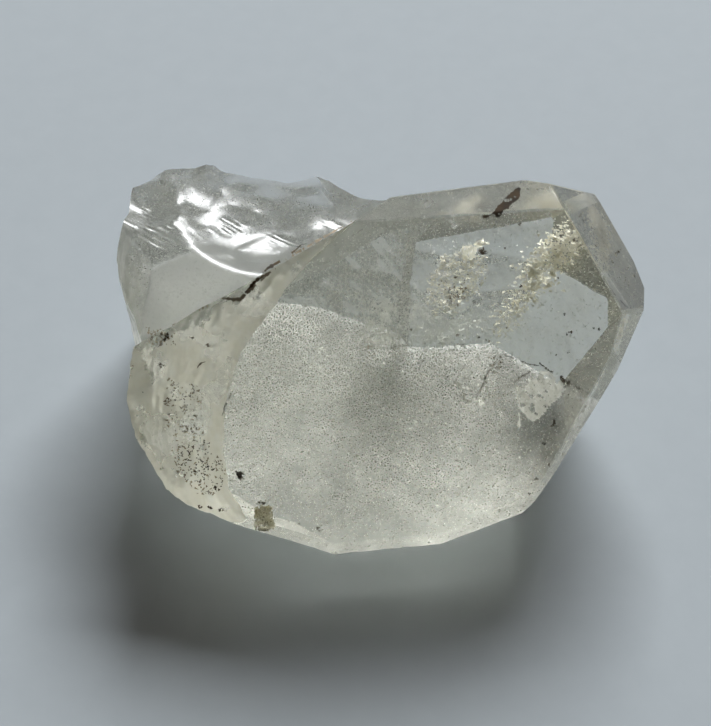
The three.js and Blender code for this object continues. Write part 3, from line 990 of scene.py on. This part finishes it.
white.append(film([(448, 376), (470, 371), (490, 379), (501, 386), (493, 398), (481, 408), (501, 412), (506, 419), (490, 421), (470, 413), (455, 401)],
                  low, 1.6, 631, 0.08, 0.5, 3.5))
white.append(ribbon([(519, 412), (519.5, 420), (519, 429)], 2.6, level(4.0), 641))

# the far edge of the base, with its broken skin
rear_line = level(0.9)
iron.append(ribbon([(359, 347), (366, 347), (374, 346)], 2.4, rear_line, 651))
iron.append(ribbon([(374, 347), (390, 348), (402, 345), (415, 346), (428, 342), (445, 344), (470, 345), (490, 344), (505, 353)], 1.3, rear_line, 661, True, -0.15))
tan.append(cloud_at([(358, 348), (404, 348), (398, 358), (382, 362), (364, 360)], 200, rear_line, (0.12, 0.45), rng, -0.1, 663, 0.25))
iron.append(cloud_at([(378, 322), (420, 316), (436, 334), (488, 334), (492, 343), (430, 346), (384, 342)], 120, behind(0.9), (0.10, 0.35), rng, 0.05, 665, 0.3))
veil.append(film([(360, 312), (376, 300), (398, 297), (425, 306), (450, 316), (480, 320), (494, 336), (440, 342), (380, 346), (357, 340)],
                  behind(0.75), 1.7, 671, 0.02, 0.35, 4.0))
veil.append(cloud_at([(352, 300), (400, 288), (440, 300), (500, 318), (500, 340), (360, 346)], 4200, behind(1.4), (0.12, 0.46), rng, -0.02, 673, 0.9))
veil.append(cloud_at([(420, 230), (560, 212), (616, 310), (600, 360), (545, 366), (500, 340), (430, 330)], 2600, behind(1.6), (0.10, 0.36), rng, 0.02, 675, 1.2))

# clouds and single grains through the middle
mid = level(7.0, (0.0, -0.3))
white.append(cloud_at([(296, 350), (318, 346), (344, 352), (346, 372), (326, 378), (300, 368)], 700, level(9.0, (0, -0.3)), (0.12, 0.42), rng, 0.05, 681, 0.4, (0.1, 0.1, 1.0), 0.25))
white.append(cloud_at([(390, 415), (430, 412), (462, 440), (470, 480), (440, 505), (385, 500), (360, 470)], 1100, mid, (0.10, 0.38), rng, 0.12, 683, 0.8, (0.1, 0.1, 1.0), 0.25))
white.append(cloud_at([(240, 300), (340, 250), (420, 230), (520, 240), (560, 420), (520, 500), (400, 530), (290, 520), (235, 440)], 2600, mid,
                      (0.08, 0.30), rng, 0.12, 685, 2.2))
white += dots_at([(384, 364, 2.6), (414, 358, 2.6), (402, 372, 2.4), (384, 409, 2.6), (415, 423, 3.0), (411, 428, 2.8), (421, 420, 1.8), (406, 431, 1.8),
                  (416, 445, 2.4), (408, 449, 2.6), (403, 452, 2.4), (359, 457, 2.8), (447, 475, 2.4), (493, 449, 2.4), (437, 485, 3.2), (433, 483, 2.2),
                  (378, 470, 2.2), (394, 470, 2.0), (424, 471, 2.4), (458, 469, 2.2), (380, 496, 2.6), (376, 496, 1.8), (460, 449, 2.2), (519, 459, 2.4),
                  (324, 283, 2.4), (347, 299, 2.6), (310, 355, 3.0), (320, 358, 2.8), (336, 356, 2.6), (317, 398, 3.0), (300, 362, 2.0), (328, 368, 2.4),
                  (483, 362, 2.0), (452, 222, 2.6), (455, 226, 2.2), (536, 222, 2.4), (537, 232, 2.6), (513, 287, 2.6), (306, 437, 2.2), (327, 505, 2.0)],
                 (2.0, 7.0), rng)
iron += dots_at([(458, 495, 1.8), (505, 248, 1.6), (565, 314, 1.5), (521, 472, 1.6), (462, 433, 1.8), (571, 332, 2.2), (567, 334, 1.5), (599, 329, 1.8),
                 (594, 328, 1.4), (556, 355, 1.2), (568, 353, 1.2), (474, 302, 1.6), (520, 224, 2.0), (479, 337, 1.8), (458, 335, 1.8), (411, 329, 1.8)],
                (1.0, 4.0), rng)

# outside: rust by the top edge, dirt in the pits of the break, specks on the edges, painted shade along the ridge and
# the step, and some painted highlights on the tip
rust = [(481, 219), (484, 214), (490, 214), (494, 210), (497, 205), (502, 202), (506, 196), (510, 192), (515, 188), (521, 189), (520, 197),
        (517, 202), (511, 205), (509, 209), (505, 211), (503, 215), (499, 220), (496, 218), (494, 214), (489, 217)]
iron.append(film(rust, surface, 1.0, 691, -0.55, 0.0, 1.6, False))
iron.append(dirt_at([(170, 380), (196, 383), (199, 400), (193, 420), (201, 437), (188, 437), (174, 430), (168, 402)], 420, (0.10, 0.34), rng, 0.05, 701))
iron.append(dirt_at([(178, 440), (206, 438), (223, 466), (223, 492), (205, 494), (186, 481), (177, 462)], 420, (0.12, 0.44), rng, 0.08, 711))
tan.append(dirt_at([(166, 376), (202, 380), (204, 440), (226, 466), (226, 496), (200, 498), (176, 470), (164, 410)], 700, (0.15, 0.5), rng, -0.02, 715))
tan.append(dirt_at([(146, 326), (176, 332), (176, 346), (150, 346)], 90, (0.15, 0.5), rng, 0.0, 717))
iron += spots_at([(164, 338, 4.0), (167, 334, 2.5), (161, 365, 2.6), (241, 476, 4.2), (238, 472, 2.6), (208, 345, 2.0), (216, 488, 3.0), (210, 508, 3.0),
                  (200, 507, 2.5), (220, 510, 2.5), (263, 503, 2.2), (259, 503, 2.0), (299, 524, 1.5), (318, 528, 2.2), (254, 299, 1.6), (192, 338, 1.8)], rng)
iron.append(ribbon([(197, 368), (201, 363), (206, 362)], 1.3, surface, 721, False))
# painted shade: a dark line along the step at the big face's left edge
iron.append(ribbon([(222, 416), (226, 404), (232, 392), (240, 382)], 1.5, surface, 731, False, -0.3))
# painted shade: a dark line under the ridge, on the big face's side
iron.append(ribbon([(242, 296), (256, 281), (268, 268), (282, 260), (296, 250), (302, 244)], 3.0, surface, 741, False, -0.25))
# painted shade along the ridge, in the tan of the stained zone below it
tan.append(ribbon([(166, 329), (190, 315), (222, 298), (240, 300), (262, 278), (298, 252), (330, 234), (352, 221)], 3.2, surface, 751, False, -0.5))
iron += spots_at([(553, 424, 3.0), (554, 421, 1.8), (544, 444, 1.8), (563, 454, 2.0), (549, 465, 1.7), (537, 479, 1.6), (529, 494, 1.6), (581, 400, 1.5),
                  (617, 252, 3.0), (608, 210, 2.2), (612, 262, 1.6), (596, 246, 1.8), (580, 216, 1.8), (634, 276, 1.8)], rng)
# pale specks on the tip faces; the two at the lower right are painted highlights
veil += spots_at([(621, 272, 2.0), (628, 269, 2.0), (597, 212, 1.6), (566, 205, 1.8)], rng, 4)

# the chip on the lower rim: cream and tan, darker towards its lower edge, with a dark line along the bottom
chip = [(255, 508), (262, 506), (271, 507), (274, 528), (266, 531), (255, 529)]
band.append(dirt_at(chip, 420, (0.22, 0.5), rng, 0.0, 761, 0.25, 0.9))
tan.append(dirt_at(chip, 60, (0.15, 0.35), rng, 0.0, 763, 0.25, 0.9))
# the chip's lower part darker
tan.append(dirt_at([(257, 522), (272, 522), (274, 528), (266, 531), (256, 529)], 60, (0.15, 0.35), rng, 0.0, 765, 0.25, 0.9))
# a dark line along the chip's lower edge
iron.append(ribbon([(256, 529), (264, 531), (273, 528)], 1.2, surface, 771, False))
# crushed grain that frosts the shell break
frost = [(137, 192), (165, 174), (210, 168), (318, 184), (368, 206), (330, 230), (270, 262), (215, 262), (150, 280), (128, 262)]
veil.append(dirt_at(frost, 7000, (0.07, 0.19), rng, -0.08, 791, 0.2, 0.7))
white.append(dirt_at(frost, 5600, (0.06, 0.16), rng, -0.04, 793, 0.35, 0.6))

joined("white_veils", white, white_mat)
joined("pale_veils", veil, veil_mat)
joined("cream_veils", cream, cream_mat)
joined("cream_band", band, band_mat)
joined("iron_specks", iron, iron_mat)
joined("tan_stains", tan, tan_mat)

# ---------------------------------------------------------------------------
# Stage, lights, camera.

fl, nt, out, bsdf = new_material("floor_matt")
coord = node(nt, "ShaderNodeTexCoord").outputs["Object"]
ramp = node(nt, "ShaderNodeValToRGB")
ramp.color_ramp.elements[0].color = (0.53, 0.59, 0.63, 1)
ramp.color_ramp.elements[1].color = (0.57, 0.63, 0.67, 1)
nt.links.new(noise_tex(nt, coord, 300.0, 3.0), ramp.inputs["Fac"])
nt.links.new(ramp.outputs["Color"], bsdf.inputs["Base Color"])
bsdf.inputs["Roughness"].default_value = 0.85
fme = bpy.data.meshes.new("floor")
fme.from_pydata([(-2, -2, -0.0002), (2, -2, -0.0002), (2, 2, -0.0002), (-2, 2, -0.0002)], [], [(0, 1, 2, 3)])
fme.materials.append(fl)
floor = link(fme, "floor")


def area(name, azimuth, elevation, dist, sx, sy, watts, colour):
    """Azimuth 0 is behind the object, positive to the right."""
    az, el = math.radians(azimuth), math.radians(elevation)
    at = Vector((math.sin(az) * math.cos(el), math.cos(az) * math.cos(el), math.sin(el))) * dist
    li = bpy.data.lights.new(name, "AREA")
    li.shape, li.size, li.size_y, li.energy, li.color = "RECTANGLE", sx, sy, watts, colour
    ob = bpy.data.objects.new(name, li)
    ob.location = at
    ob.rotation_euler = (-at).to_track_quat("-Z", "Y").to_euler()
    scene.collection.objects.link(ob)


area("window", 14, 35, 2.2, 1.15, 0.54, 58.0, (0.97, 0.985, 1.0))
world = bpy.data.worlds.new("room")
scene.world = world
world.use_nodes = True
bg = world.node_tree.nodes.get("Background") or world.node_tree.nodes.new("ShaderNodeBackground")
bg.inputs["Color"].default_value = (0.74, 0.65, 0.56, 1)
bg.inputs["Strength"].default_value = 0.075

cam = bpy.data.cameras.new("camera")
cam.lens, cam.sensor_width, cam.clip_start = LENS, 36.0, 0.005
cam_ob = bpy.data.objects.new("camera", cam)
cam_ob.location = Vector((EYE + SHIFT) * MM)
cam_ob.rotation_euler = Vector(FWD).to_track_quat("-Z", "Y").to_euler()
scene.collection.objects.link(cam_ob)
scene.camera = cam_ob
scene.view_settings.view_transform = "Standard"
scene.cycles.transmission_bounces = 12
scene.cycles.max_bounces = 15
